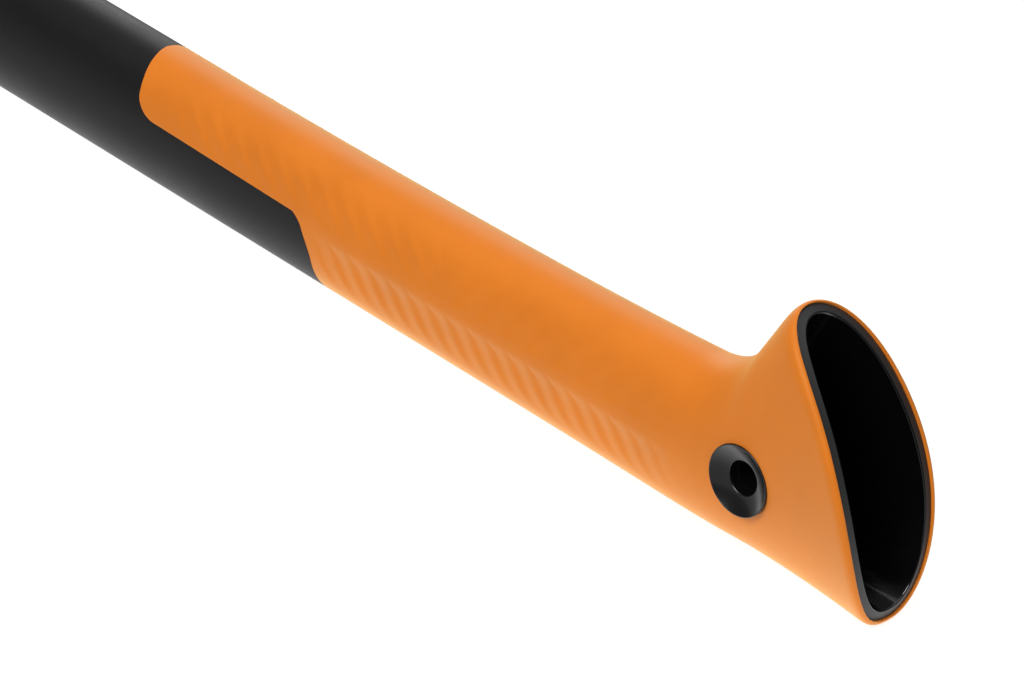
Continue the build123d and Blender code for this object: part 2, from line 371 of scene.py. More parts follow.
def open_hole(piece, radius):
    """Cut the eyelet's round seat: drop the faces inside, round off the rest."""
    work = bmesh.new()
    work.from_mesh(piece.data)
    into_handle = HANDLE.inverted()
    distance = {}
    for point in work.verts:
        local = into_handle @ point.co
        distance[point] = (math.hypot(local.x, local.z - EYELET_Z), local)
    inside = []
    for face in work.faces:
        reaches = [distance[point][0] for point in face.verts]
        if sum(reaches) / len(reaches) < radius:
            inside.append(face)
    bmesh.ops.delete(work, geom=inside, context="FACES")
    border = {v for e in work.edges if e.is_boundary for v in e.verts}
    for point in border:
        reach, local = distance[point]
        if reach < radius * HOLE_BORDER:
            scale = radius / reach
            local.x *= scale
            local.z = EYELET_Z + (local.z - EYELET_Z) * scale
            point.co = HANDLE @ local
    print(piece.name, "hole dropped", len(inside), "faces")
    work.to_mesh(piece.data)
    work.free()


# %% [markdown]
# ## The soft grip
# The orange skin is moulded over the handle. It could be the CAD solid with a
# bump map, but its ribs are real relief, which catches light on its slopes, so
# here the points of the grid themselves are moved. The relief has a lower row
# of leaf-shaped ribs, a crease above it, and a faint upper row that leans one
# way on the tongue and the other way near the butt.

# %% Relief of the grip
RIB_PITCH = 6.95
RIB_DEPTH = 0.27
RIB_RISE = 0.62             # share of the pitch where a rib rises
RIB_LEAN = 0.45             # how far a rib leans for each mm below the crease
RIB_CURVE = 0.015
RIB_START = (-0.8, 2.0)     # the ribs fade in and out this far below the crease
RIB_END = (9.0, 14.0)
CREASE_Z = 1.6
CREASE_RIDGE = 0.28         # the skin stands up to the crease from above,
CREASE_DEPTH = 0.75         # falls away below it,
CREASE_ABOVE = 4.5
CREASE_BELOW = 2.6
CREASE_BACK = (5.0, 15.0)   # and comes back to the plain surface here
FAINT_DEPTH = (0.18, 0.34)  # on the tongue, and near the butt
SCALLOP = 1.6               # the crease dips this much between two ribs
ROW_START = (-150.0, -136.0)
ROW_END = (-42.0, -12.0)
UPPER_START = (-206.0, -190.0)
UPPER_END = (-40.0, -14.0)
UPPER_LOW = (3.5, 7.0)      # the upper row fades in and out between these heights
UPPER_HIGH = (11.0, 17.0)
UPPER_MIDDLE = 6.0
TONGUE_WAVE = (-1.1, 8.0)   # lean and pitch of the upper row on the tongue,
BUTT_WAVE = (0.65, 8.6)     # and near the butt
SPLIT = (-112.0, -98.0)     # where it changes from one to the other
SHOULDER = (0.8, 3.2)       # a soft shoulder this far below the belly line
SHOULDER_DEPTH = 0.20


def leaf_wave(phase):
    """One soft rib, which rises slower than it falls."""
    part = phase - np.floor(phase)
    up = ramp(part, 0.0, RIB_RISE)
    down = 1.0 - ramp(part, RIB_RISE, 1.0)
    return np.where(part < RIB_RISE, up, down)


def upper_wave(x, z, lean, pitch):
    return leaf_wave((x - lean * (z - UPPER_MIDDLE)) / pitch)


def crease_height(drop):
    """Ridge along the crease, and the hollow below it."""
    above = CREASE_RIDGE * np.exp(-(drop**2) / (2 * CREASE_ABOVE**2))
    fall = 1.0 - np.exp(-(drop**2) / (2 * CREASE_BELOW**2))
    below = CREASE_RIDGE - CREASE_DEPTH * fall
    return np.where(drop < 0.0, above, below * (1.0 - ramp(drop, *CREASE_BACK)))


def rib_height(x, z):
    """Relief of the grip in millimetres, zero at its borders."""
    along = ramp(x, *ROW_START) * (1.0 - ramp(x, *ROW_END))
    drop = CREASE_Z - z
    lean = RIB_LEAN * drop + RIB_CURVE * drop**2
    lower = leaf_wave((x - lean) / RIB_PITCH)
    scallop = drop - SCALLOP * (1.0 - lower)
    row = ramp(scallop, *RIB_START) * (1.0 - ramp(drop, *RIB_END))
    leaf = RIB_DEPTH * (lower - 1.0) * row
    split = ramp(x, *SPLIT)
    upper = upper_wave(x, z, *TONGUE_WAVE) * (1.0 - split)
    upper = upper + upper_wave(x, z, *BUTT_WAVE) * split
    band = ramp(z, *UPPER_LOW) * (1.0 - ramp(z, *UPPER_HIGH))
    upper_along = ramp(x, *UPPER_START) * (1.0 - ramp(x, *UPPER_END))
    depth = FAINT_DEPTH[0] + (FAINT_DEPTH[1] - FAINT_DEPTH[0]) * split
    faint = depth * (upper - 1.0) * band * upper_along
    below_belly = belly(x) - z
    shoulder = -SHOULDER_DEPTH * (1.0 - ramp(below_belly, *SHOULDER)) * upper_along
    return (leaf + crease_height(drop)) * along + faint + shoulder


rib_sample = rib_height(np.linspace(-100.0, -60.0, 200), np.full(200, -4.0))
print("ribs stand", round(float(np.ptp(rib_sample)), 2), "mm high")


# %% [markdown]
# ## The skin as one sheet
# Each band of the skin is one sheet: the outside with its relief, the rolled
# lip at the mouth, and the underside back to the start. A Solidify modifier
# would add the underside too, but it would copy the ribs to it. Here the
# underside follows the plain handle, and meets the shell with no gap.

# %% Grip skin
TONGUE_ROWS = 110
STEP_ROWS = 30
GRIP_ROWS = 330
REJOIN_X = -138.0
LIP_ROLL = 3.0
LIP_STEPS = 9
BAND_LINES = {"belly": 80, "back": 95}
LAST_X = 39.0               # the tip of the butt, where the lines end
MOUTH_GUESS = 20.0
MOUTH_ROUNDS = 8
UNDER_EVERY = 6             # the hidden sides need fewer rows
COVERED_EVERY = 8


def folded(shares):
    """Share of the way from the tongue's edge to the middle plane."""
    return 1.0 - np.abs(1.0 - shares)


def run(start, end, steps):
    """Rows of stations from start up to, not including, end."""
    return [start + (end - start) * i / steps for i in range(steps)]


def mouth_line(band, shares, inset=0.0):
    """Angles and stations of a band's lines where they meet the mouth."""
    stations = np.full_like(shares, MOUTH_GUESS)
    for _ in range(MOUTH_ROUNDS):
        angles = band_angles(np.minimum(stations, LAST_X), shares, band)
        stations = mouth_x(angles, inset)
    return angles, stations


def skin_start(band, shares):
    if band == "belly":
        return tongue_start(folded(shares))
    return wrap_start(folded(shares))


def skin_rows(band, shares):
    """Stations of every line, from the skin's start to just before the mouth."""
    begin = skin_start(band, shares)
    rows = []
    step_x = begin
    if band == "belly":
        step_x = np.full_like(begin, STEP_X)
        rows += run(begin, step_x, TONGUE_ROWS)
    rejoin = np.full_like(begin, REJOIN_X)
    rows += run(step_x, rejoin, STEP_ROWS)
    stop = mouth_line(band, shares)[1] - LIP_ROLL
    rows += run(rejoin, stop, GRIP_ROWS) + [stop]
    return np.stack(rows)


def surface(rows, band, shares, inset=0.0):
    angles = band_angles(rows, shares[None, :] + 0 * rows, band)
    return handle_point(rows, angles, inset), angles


def rolled_lip(last, band, shares):
    """Quarter turn from the outside of the skin to the rim."""
    angles, stations = mouth_line(band, shares)
    corner = handle_point(stations, angles)
    inner = handle_point(mouth_x(angles, SKIN), angles, SKIN)
    lip = []
    for i in range(1, LIP_STEPS + 1):
        t = i / LIP_STEPS
        lip.append((1 - t) ** 2 * last + 2 * t * (1 - t) * corner + t * t * inner)
    return np.stack(lip)


def grip_sheet(band):
    shares = even_shares(BAND_LINES[band])
    rows = skin_rows(band, shares)
    points, angles = surface(rows, band, shares)
    relief = rib_height(points[..., 0], points[..., 2])
    points = points + handle_normal(rows, angles) * relief[..., None]
    lip = rolled_lip(points[-1], band, shares)
    under = surface(rows[::-1][::UNDER_EVERY], band, shares, SKIN)[0]
    start = surface(rows[:1], band, shares, SKIN)[0]
    print(band, "band of the skin:", len(points), "rows of", len(shares), "points")
    return np.concatenate([points, lip, under, start, points[:1]])


soft_grip = make_piece("soft_grip_skin", [(to_row(grip_sheet(b)), 0) for b in BAND_LINES])
open_hole(soft_grip, EYELET_SEAT)
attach(soft_grip, "root")
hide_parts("soft_grip")

# %% [markdown]
# ## The handle shell
# Under the skin is a stiff hollow moulding. Where the skin ends it comes out
# flush, and at the mouth it shows as a dark rim with a small chamfer and a
# glossy inside, whose darker colour is painted shade. Three finishes on one mesh
# are easy when each stretch of the grid keeps its own material number: 0 is the
# matte outside, 1 the trimmed rim and 2 the inside, with its painted shade.

# %% Shell
CAP_STEPS = 6
CAP_DEPTH = 4.0
CAP_SHRINK = 0.16
NECK_END = -490.0
NECK_ROWS = 60
SHAFT_END = -230.0
SHAFT_ROWS = 30
LEAD_ROWS = 12              # from the shaft to the skin
BESIDE_ROWS = 40            # beside the tongue
CAVITY_TOP = HEAD_X + 78.0
CAVITY_TURN = -60.0         # the cavity's rows are even from here up
CAVITY_ROWS = (60, 40)      # up to there, and on to the top
FIRST_STEP = 0.2            # a narrow row keeps the rim's edge crisp
RIM_SINK = 0.25
RIM_SHARES = (0.0, 0.03, 0.25, 0.5, 0.75, 0.97)
RIM_CHAMFER = 0.30
CHAMFER_SHARES = (0.0, 0.35, 0.7, 1.0)
RIM_CROWN = 0.45            # the rim's inner edge stands this much higher


def cap_rows(station, angles, depth):
    """Rounded end cap: the section shrinks to its middle line."""
    ring = handle_point(station + 0 * angles, angles)
    middle = np.array([station, 0.0, (belly(station) + back(station)) / 2.0])
    rows = []
    for i in range(CAP_STEPS):
        bend = math.pi / 2 * i / (CAP_STEPS - 1)
        shrink = 1.0 - CAP_SHRINK * (1.0 - math.cos(bend))
        row = middle + (ring - middle) * shrink
        rows.append(row - np.array([depth * math.sin(bend), 0.0, 0.0]))
    centre = middle - np.array([depth, 0.0, 0.0])
    rows.append(np.broadcast_to(centre, ring.shape))
    return np.stack(rows)[::-1]


def bare_sheet(band, shares):
    """Outside of the shell, from the cap to the edge of the skin."""
    ones = np.ones_like(shares)
    rows = run(SHELL_TOP * ones, NECK_END * ones, NECK_ROWS)
    rows += run(NECK_END * ones, SHAFT_END * ones, SHAFT_ROWS)
    end = skin_start(band, shares)
    if band == "belly":
        rows += run(SHAFT_END * ones, end, LEAD_ROWS)
    else:
        rows += run(SHAFT_END * ones, TONGUE_CORNER_X * ones, LEAD_ROWS)
        rows += run(TONGUE_CORNER_X * ones, end, BESIDE_ROWS)
    rows = np.stack(rows + [end])
    points, angles = surface(rows, band, shares)
    cap = cap_rows(SHELL_TOP, angles[0], CAP_DEPTH)
    return np.concatenate([cap, points])


def covered_sheet(band, shares):
    """The shell under the skin, out to the rim."""
    rows = skin_rows(band, shares)[::COVERED_EVERY]
    points = surface(rows, band, shares, SKIN)[0]
    start = surface(rows[:1], band, shares)[0]
    angles = mouth_line(band, shares)[0]
    rim = handle_point(mouth_x(angles, SKIN, RIM_SINK + RIM_CROWN), angles, SKIN)
    return np.concatenate([start, points, rim[None]])


def rim_sheet(band, shares):
    angles = mouth_line(band, shares)[0]
    rows = []
    for share in RIM_SHARES:
        inset = SKIN + (WALL - RIM_CHAMFER - SKIN) * share
        sink = RIM_SINK + RIM_CROWN * (1.0 - share)
        rows.append(handle_point(mouth_x(angles, inset, sink), angles, inset))
    for share in CHAMFER_SHARES:
        inset = WALL - RIM_CHAMFER * (1.0 - share)
        sink = RIM_SINK + RIM_CHAMFER * share**2
        rows.append(handle_point(mouth_x(angles, inset, sink), angles, inset))
    return np.stack(rows)


def cavity_sheet(band, shares):
    angles = mouth_line(band, shares)[0]
    end = mouth_x(angles, WALL, RIM_SINK + RIM_CHAMFER)
    ones = np.ones_like(shares)
    rows = [end] + run(end - FIRST_STEP, CAVITY_TURN * ones, CAVITY_ROWS[0])
    rows += run(CAVITY_TURN * ones, CAVITY_TOP * ones, CAVITY_ROWS[1])
    rows = np.stack(rows + [CAVITY_TOP * ones])
    grid_angles = band_angles(np.minimum(rows, LAST_X), shares[None, :] + 0 * rows, band)
    grid_angles[0] = angles
    points = handle_point(rows, grid_angles, WALL)
    middle = np.array([CAVITY_TOP, 0.0, 0.0])
    return np.concatenate([points, np.broadcast_to(middle, points[:1].shape)])


def shell_grids():
    grids = []
    for band, count in BAND_LINES.items():
        shares = even_shares(count)
        grids.append((to_row(bare_sheet(band, shares)), 0))
        grids.append((to_row(covered_sheet(band, shares)), 0))
        rim = to_row(rim_sheet(band, shares))
        grids.append((rim[: len(RIM_SHARES)], 1))
        grids.append((rim[len(RIM_SHARES) - 1 :], 2))
        grids.append((to_row(cavity_sheet(band, shares)), 2))
    return grids


handle_shell = make_piece("handle_shell_body", shell_grids())
open_hole(handle_shell, EYELET_SEAT)
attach(handle_shell, "root")
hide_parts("handle_shell")

# %% [markdown]
# ## The eyelet
# A hollow handle needs a sleeve where the lanyard goes through. It is two
# turned shapes: a dished socket on one side, and a plug whose thinner sleeve
# slides inside it. Screw and Spin modifiers could turn the profile, but a grid
# of rings from one list of radii and depths is as short and keeps every round.

# %% Eyelet halves
RING_LINES = 96
EYELET_RIM = 13.5
EYELET_RADIUS = 9.1
SOCKET_BORE = 4.35
SOCKET_WALL = 1.1
PLUG_BORE = 3.7
PLUG_WALL = 0.62
PLUG_REACH = -9.0           # the plug's sleeve ends past the middle plane
DISH_DEPTH = 2.0
DISH_SLOPE = 0.72           # the dish rises evenly by this share,
DISH_POWER = 2.2            # and curls up by the rest
DISH_STEPS = 14
LIP_DROP = 0.35             # round edge of the bore
LIP_OUT = 0.4
LIP_TURNS = 6
RIM_ROLL = 0.17
RIM_RISE = 0.12
RIM_TURNS = 8
FLANGE_BACK = 11.1


def dished_profile(bore, sleeve):
    """Radius and height over the middle plane, from the bore to the flange's back."""
    profile = []
    floor_height = EYELET_RIM - DISH_DEPTH
    profile.append((bore, floor_height - LIP_DROP))
    for i in range(LIP_TURNS + 1):
        bend = math.pi / 2 * i / LIP_TURNS
        height = floor_height - LIP_DROP * (1 - math.sin(bend))
        profile.append((bore + LIP_OUT * (1 - math.cos(bend)), height))
    inner = bore + LIP_OUT
    outer = EYELET_RADIUS - 2 * RIM_ROLL
    for i in range(1, DISH_STEPS + 1):
        share = i / DISH_STEPS
        curl = (1.0 - DISH_SLOPE) * share**DISH_POWER
        height = floor_height + DISH_DEPTH * (DISH_SLOPE * share + curl) - RIM_RISE * share
        profile.append((inner + (outer - inner) * share, height))
    for i in range(1, RIM_TURNS + 1):
        bend = math.pi * i / RIM_TURNS
        reach_out = outer + RIM_ROLL * (1 - math.cos(bend))
        profile.append((reach_out, EYELET_RIM - RIM_RISE + RIM_RISE * math.sin(bend)))
    profile.append((EYELET_RADIUS, FLANGE_BACK))
    profile.append((bore + sleeve, FLANGE_BACK))
    return profile


def sleeve_profile(bore, sleeve, reach):
    """The rest of one half: outside of the sleeve, its end, and the bore."""
    outside = bore + sleeve
    inner_end = EYELET_RIM - DISH_DEPTH - LIP_DROP
    return [(outside, FLANGE_BACK), (outside, reach), (bore, reach), (bore, inner_end)]


def turned(profile, side):
    """Turn a profile about the eyelet's axis, towards +Y or -Y."""
    rows = []
    bends = np.linspace(0.0, 2.0 * math.pi, RING_LINES + 1)
    for radius, height in profile:
        x = radius * np.cos(bends)
        z = EYELET_Z + radius * np.sin(bends)
        rows.append(np.stack([x, side * height + 0 * x, z], axis=-1))
    return np.stack(rows)


def eyelet_half(name, node, bore, sleeve, reach, side):
    flange = to_row(turned(dished_profile(bore, sleeve), side))
    tube = to_row(turned(sleeve_profile(bore, sleeve, reach), side))
    # The tube, with the bore, takes the second finish, which is painted shade.
    piece = make_piece(name, [(flange, 0), (tube, 1)])
    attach(piece, "root")
    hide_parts(node)
    return piece


socket_half = eyelet_half(
    "eyelet_socket_ring", "eyelet_socket", SOCKET_BORE, SOCKET_WALL, -FLANGE_BACK, -1
)
plug_half = eyelet_half("eyelet_plug_ring", "eyelet_plug", PLUG_BORE, PLUG_WALL, PLUG_REACH, 1)

# %% [markdown]
# ## The head
# The head is forged: thick at the poll, thin at the edge, with rounded corners
# and a ground bevel. A box with a bevel would give one even radius, so this
# grid stacks rounded rectangles from poll to edge. Their length follows the
# spreading blade, their thickness the wedge, and the last ones bend with the
# curved edge.

# %% Head
HEAD_DEPTH = 176.0
HEAD_ROWS = 150
POLL_HALF = 28.0
THROAT_HALF = 25.0
EDGE_HALF = 56.0
EDGE_BULGE = 11.0
WAIST_SHARE = 0.42          # shares of the way from poll to edge
CHEEK_SHARE = 0.41
SPREAD_START = 0.5
BULGE_START = 0.45
BEVEL_START = 0.885
SPREAD_POWER = 2.1
CHEEK_POWER = 0.93
CORNER_POLL = 3.2
CORNER_EDGE = 1.6
POLL_THICK = 11.5
BEVEL_THICK = 2.3
EDGE_THICK = 0.12
POLL_ROUND = 1.6
POLL_STEPS = 6
head_low, head_high = (Vector(corner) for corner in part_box("axe_head"))
head_middle_x = (head_low.x + head_high.x) / 2


def head_half_length(share):
    waist = POLL_HALF + (THROAT_HALF - POLL_HALF) * ramp(share, 0.0, WAIST_SHARE)
    spread = np.clip((share - SPREAD_START) / (1.0 - SPREAD_START), 0.0, 1.0)
    return waist + (EDGE_HALF - THROAT_HALF) * spread**SPREAD_POWER


def head_half_thickness(share):
    if share < CHEEK_SHARE:
        return POLL_THICK
    if share < BEVEL_START:
        fall = (share - CHEEK_SHARE) / (BEVEL_START - CHEEK_SHARE)
        return POLL_THICK + (BEVEL_THICK - POLL_THICK) * fall**CHEEK_POWER
    fall = (share - BEVEL_START) / (1.0 - BEVEL_START)
    return BEVEL_THICK + (EDGE_THICK - BEVEL_THICK) * fall


def rounded_rectangle(half_x, half_y, radius, flats=26, corner=7):
    """Loop of points round a rectangle with round corners, centred on zero."""
    loop = []
    radius = min(radius, half_x * 0.9, half_y * 0.9)
    for quarter in range(4):
        sign_x = 1 if quarter in (0, 3) else -1
        sign_y = 1 if quarter in (0, 1) else -1
        near_x = sign_x * (half_x - radius)
        near_y = sign_y * (half_y - radius)
        for i in range(corner + 1):
            bend = math.pi / 2 * (quarter + i / corner)
            loop.append((near_x + radius * math.cos(bend), near_y + radius * math.sin(bend)))
        if quarter in (0, 2):
            for i in range(1, flats):
                loop.append((near_x + (-near_x - near_x) * i / flats, sign_y * half_y))
    return loop + loop[:1]


def head_row(share, inset=0.0):
    """Loop round the head, at a share of the way from poll to edge."""
    half_x = float(head_half_length(share)) - inset
    half_y = head_half_thickness(share) - inset
    radius = CORNER_POLL + (CORNER_EDGE - CORNER_POLL) * share
    row = []
    for x, y in rounded_rectangle(half_x, half_y, radius):
        across = x / EDGE_HALF
        bulge = EDGE_BULGE * across**2 * ramp(share, BULGE_START, 1.0)
        row.append((x, y, share * HEAD_DEPTH - bulge))
    return np.array(row)


def head_grid():
    rows = []
    for i in range(POLL_STEPS):
        bend = math.pi / 2 * i / POLL_STEPS
        row = head_row(0.0, POLL_ROUND * (1.0 - math.sin(bend)))
        row[:, 2] = POLL_ROUND * (1.0 - math.cos(bend))
        rows.append(row)
    first_share = POLL_ROUND / HEAD_DEPTH
    for i in range(HEAD_ROWS + 1):
        rows.append(head_row(first_share + (1.0 - first_share) * i / HEAD_ROWS))
    first = rows[0].mean(axis=0)
    last = rows[-1] * np.array([1.0, 0.0, 1.0])
    rows = [np.broadcast_to(first, rows[0].shape)] + rows + [last]
    grid = np.stack(rows) * MM
    return grid + np.array([head_middle_x, 0.0, head_low.z])


axe_head = make_piece("axe_head_forging", [(head_grid(), 0)])
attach(axe_head, "root")
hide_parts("axe_head")

# %% [markdown]
# ## Shared effects
# Moulded plastic, rubber and forged steel all have an uneven skin, and the
# steel wears at its edges too. Each effect is a node group, made once and used
# with its own numbers in each material that needs it. A group only puts out
# masks and heights: the shader stays outside.

# %% Node helpers
def new_group(name, inputs, outputs):
    """Empty node group with named number inputs and outputs."""
    group = bpy.data.node_groups.new(name, "ShaderNodeTree")
    for label, value in inputs.items():
        socket = group.interface.new_socket(label, in_out="INPUT", socket_type="NodeSocketFloat")
        socket.default_value = value
    for label in outputs:
        group.interface.new_socket(label, in_out="OUTPUT", socket_type="NodeSocketFloat")
    return group, group.nodes.new("NodeGroupInput"), group.nodes.new("NodeGroupOutput")


def math_node(tree, operation, first, second):
    node = tree.nodes.new("ShaderNodeMath")
    node.operation = operation
    for slot, value in zip(node.inputs, (first, second)):
        if isinstance(value, (int, float)):
            slot.default_value = value
        else:
            tree.links.new(value, slot)
    return node.outputs[0]


def noise(tree, vector, scale, detail=3.0, rough=0.55):
    node = tree.nodes.new("ShaderNodeTexNoise")
    node.inputs["Detail"].default_value = detail
    node.inputs["Roughness"].default_value = rough
    tree.links.new(vector, node.inputs["Vector"])
    if isinstance(scale, (int, float)):
        node.inputs["Scale"].default_value = scale
    else:
        tree.links.new(scale, node.inputs["Scale"])
    return node.outputs["Fac"]


# %% [markdown]
# ## The mould's texture
# A mould is sparked or blasted, so a moulded face is never quite smooth, and
# its gloss changes slowly from place to place. An image could show that, but
# it would stretch on the hook. Two noises in the piece's own coordinates don't:
# a fine one for height, and a slow one for the patches.

# %% Mould texture group
GRAIN_DETAIL = (2.0, 0.6)   # detail and roughness of the fine noise,
PATCH_DETAIL = (4.0, 0.6)   # and of the slow one


def mould_texture_group():
    """Fine sparked texture, and slow patches that vary the gloss."""
    inputs = {"Grain": 2600.0, "Patch": 45.0}
    group, entry, out = new_group("mould_texture", inputs, ("Height", "Patches"))
    place = group.nodes.new("ShaderNodeTexCoord").outputs["Object"]
    grain = noise(group, place, entry.outputs["Grain"], *GRAIN_DETAIL)
    patch = noise(group, place, entry.outputs["Patch"], *PATCH_DETAIL)
    group.links.new(grain, out.inputs["Height"])
    group.links.new(patch, out.inputs["Patches"])
    return group


mould_texture = mould_texture_group()
print("group", mould_texture.name, len(mould_texture.nodes), "nodes")


# %% [markdown]
# ## Wear on edges
# Coating wears off where steel meets wood, first on its sharp edges. Wear could
# be painted by hand, but then it wouldn't follow a change of shape. Pointiness
# finds the convex edges, and a noise breaks them up, because wear is patchy.

# %% Edge wear group
WEAR_NOISE = (220.0, 5.0, 0.7)  # scale, detail and roughness
WEAR_FLOOR = 0.35           # noise under this leaves the coating whole
WEAR_GAIN = 4.0


def edge_wear_group():
    """Mask that is high on sharp convex edges, broken up by noise."""
    group, entry, out = new_group("edge_wear", {"Spread": 6.0, "Start": 0.53}, ("Wear",))
    geometry = group.nodes.new("ShaderNodeNewGeometry")
    place = group.nodes.new("ShaderNodeTexCoord").outputs["Object"]
    broken = noise(group, place, *WEAR_NOISE)
    sharp = math_node(group, "SUBTRACT", geometry.outputs["Pointiness"], entry.outputs["Start"])
    strong = math_node(group, "MULTIPLY", sharp, entry.outputs["Spread"])
    shifted = math_node(group, "SUBTRACT", broken, WEAR_FLOOR)
    patchy = math_node(group, "MULTIPLY", shifted, WEAR_GAIN)
    mask = math_node(group, "MULTIPLY", strong, patchy)
    limited = math_node(group, "MINIMUM", math_node(group, "MAXIMUM", mask, 0.0), 1.0)
    group.links.new(limited, out.inputs["Wear"])
    return group


edge_wear = edge_wear_group()
print("group", edge_wear.name, len(edge_wear.nodes), "nodes")


# %% [markdown]
# ## Finishes
# A finish is a Principled shader with a few nodes in front of it. These
# helpers keep each finish short: one places a group, one mixes two colours by
# a mask, one turns a mask into a range of numbers, and one adds the bump. Two
# more are for the floor and the room: one gives the axes of a coordinate, and
# one gives the camera its own brightness. Values that are the same all over
# are set on the shader's own sockets.

# %% Material helpers
def place_group(tree, group, **values):
    node = tree.nodes.new("ShaderNodeGroup")
    node.node_tree = group
    for label, value in values.items():
        node.inputs[label].default_value = value
    return node


def new_material(name, color, roughness):
    material = bpy.data.materials.new(name)
    material.use_nodes = True
    shader = material.node_tree.nodes["Principled BSDF"]
    shader.inputs["Base Color"].default_value = (*color, 1.0)
    shader.inputs["Roughness"].default_value = roughness
    return material, material.node_tree, shader


def between(tree, factor, low, high, start=0.0, end=1.0, easing="LINEAR"):
    """Number that runs from low to high as the factor runs from start to end."""
    node = tree.nodes.new("ShaderNodeMapRange")
    node.interpolation_type = easing
    tree.links.new(factor, node.inputs["Value"])
    for label, value in (("From Min", start), ("From Max", end), ("To Min", low), ("To Max", high)):
        node.inputs[label].default_value = value
    return node.outputs["Result"]


def coordinates(tree, kind="Object"):
    """The X, Y and Z of a texture coordinate, each on its own socket."""
    split = tree.nodes.new("ShaderNodeSeparateXYZ")
    tree.links.new(tree.nodes.new("ShaderNodeTexCoord").outputs[kind], split.inputs[0])
    return split.outputs


def two_faced(tree, lighting, seen):
    """One strength for the camera, and another for all other light."""
    node = tree.nodes.new("ShaderNodeMix")
    camera_ray = tree.nodes.new("ShaderNodeLightPath").outputs["Is Camera Ray"]
    tree.links.new(camera_ray, node.inputs["Factor"])
    tree.links.new(lighting, node.inputs["A"])
    node.inputs["B"].default_value = seen
    return node.outputs["Result"]


def mix_color(tree, factor, low, high):
    node = tree.nodes.new("ShaderNodeMix")
    node.data_type = "RGBA"
    tree.links.new(factor, node.inputs["Factor"])
    for slot, color in (("A", low), ("B", high)):
        if isinstance(color, tuple):
            node.inputs[slot].default_value = (*color, 1.0)
        else:
            tree.links.new(color, node.inputs[slot])
    return node.outputs["Result"]


def add_bump(tree, shader, height, distance):
    bump = tree.nodes.new("ShaderNodeBump")
    bump.inputs["Distance"].default_value = distance
    tree.links.new(height, bump.inputs["Height"])
    tree.links.new(bump.outputs["Normal"], shader.inputs["Normal"])


ROUGH_VARY = 0.08
TONE_VARY = 0.12


def moulded(name, color, roughness, grain, depth):
    """Moulded plastic or rubber: even colour, fine grain, patchy gloss."""
    material, tree, shader = new_material(name, color, roughness)
    texture = place_group(tree, mould_texture, Grain=grain)
    patches = texture.outputs["Patches"]
    darker = tuple(c * (1.0 - TONE_VARY) for c in color)
    lighter = tuple(c * (1.0 + TONE_VARY) for c in color)
    tree.links.new(mix_color(tree, patches, darker, lighter), shader.inputs["Base Color"])
    rough = between(tree, patches, roughness - ROUGH_VARY, roughness + ROUGH_VARY)
    tree.links.new(rough, shader.inputs["Roughness"])
    add_bump(tree, shader, texture.outputs["Height"], depth)
    return material, shader


# %% [markdown]
# ## Rubber and plastic
# The orange rubber is soft and dull. Light that grazes it picks up a pale
# yellow edge, which plain gloss can't give, so it has a tinted sheen. The
# nylon is the same moulding recipe with a darker colour: matte outside,
# trimmed at the rim, and glossy inside, where the mould was polished. The
# inside's colour is also darker than the outside's, which is painted shade in
# the hollow, and the eyelet's bore is near black, which is painted shade too.

# %% Rubber and plastic
ORANGE = (0.65, 0.165, 0.008)
NYLON = (0.0046, 0.0046, 0.0050)
RIM = (0.013, 0.0138, 0.0144)
# The inside's colour is darker than the nylon's: painted shade in the hollow.
INSIDE_PAINTED_SHADE = (0.0018, 0.0018, 0.002)
# The bore's colour is near black: painted shade down the eyelet's bore.
BORE_PAINTED_SHADE = (0.0015, 0.0015, 0.0016)
GLOSS = (0.006, 0.006, 0.0065)
orange_rubber, orange_shader = moulded("orange_rubber", ORANGE, 0.56, 2600.0, 0.00002)
orange_shader.inputs["Specular Tint"].default_value = (1.0, 0.80, 0.45, 1.0)
orange_shader.inputs["Sheen Weight"].default_value = 0.46
orange_shader.inputs["Sheen Roughness"].default_value = 0.45
orange_shader.inputs["Sheen Tint"].default_value = (1.0, 0.84, 0.32, 1.0)
matte_nylon, nylon_shader = moulded("matte_nylon", NYLON, 0.50, 2200.0, 0.00003)
nylon_shader.inputs["Specular IOR Level"].default_value = 0.25
trimmed_rim = moulded("trimmed_rim", RIM, 0.5, 3000.0, 0.00003)[0]
# The inside is glossy for real, and its colour, darker than the nylon's, is painted shade in the
# hollow.
glossy_inside_painted_shade = moulded("glossy_inside_painted_shade", INSIDE_PAINTED_SHADE, 0.14, 400.0, 0.00001)[0]
# The eyelet's sleeve and bore get a near black finish, a sheet of painted shade where no light gets
# through.
bore_painted_shade, bore_painted_shade_shader = moulded("bore_painted_shade", BORE_PAINTED_SHADE, 0.6, 900.0, 0.00001)
bore_painted_shade_shader.inputs["Specular IOR Level"].default_value = 0.1
gloss_plastic = moulded("gloss_plastic", GLOSS, 0.24, 900.0, 0.000005)[0]
for finish in (orange_rubber, matte_nylon, trimmed_rim, glossy_inside_painted_shade, bore_painted_shade, gloss_plastic):
    print("finish", finish.name)

# %% [markdown]
# ## Steel
# The head has a dark coating that eases it through wood. The bevel is ground
# bright after coating, and the poll is rubbed bare by use. One material does
# all three: masks from height and from sharp edges choose between coating and
# bare metal, and the grinding marks are a noise that is stretched along Z.

# %% Steel
GRIND_SCALE = (520.0, 520.0, 14.0)
BEVEL_HEIGHT = 0.0205
BEVEL_CURVE = 3.5           # the bevel's line follows the curved edge
BEVEL_BLUR = 0.0002
POLL_BARE = 0.0004
COAT_SHADES = ((0.010, 0.010, 0.011), (0.030, 0.030, 0.032))
STEEL_SHADES = ((0.46, 0.46, 0.47), (0.86, 0.86, 0.86))
COAT_ROUGH = 0.38
STEEL_ROUGH = 0.44
GRIND_DEPTH = 1.5
FORGING_DEPTH = 5.0


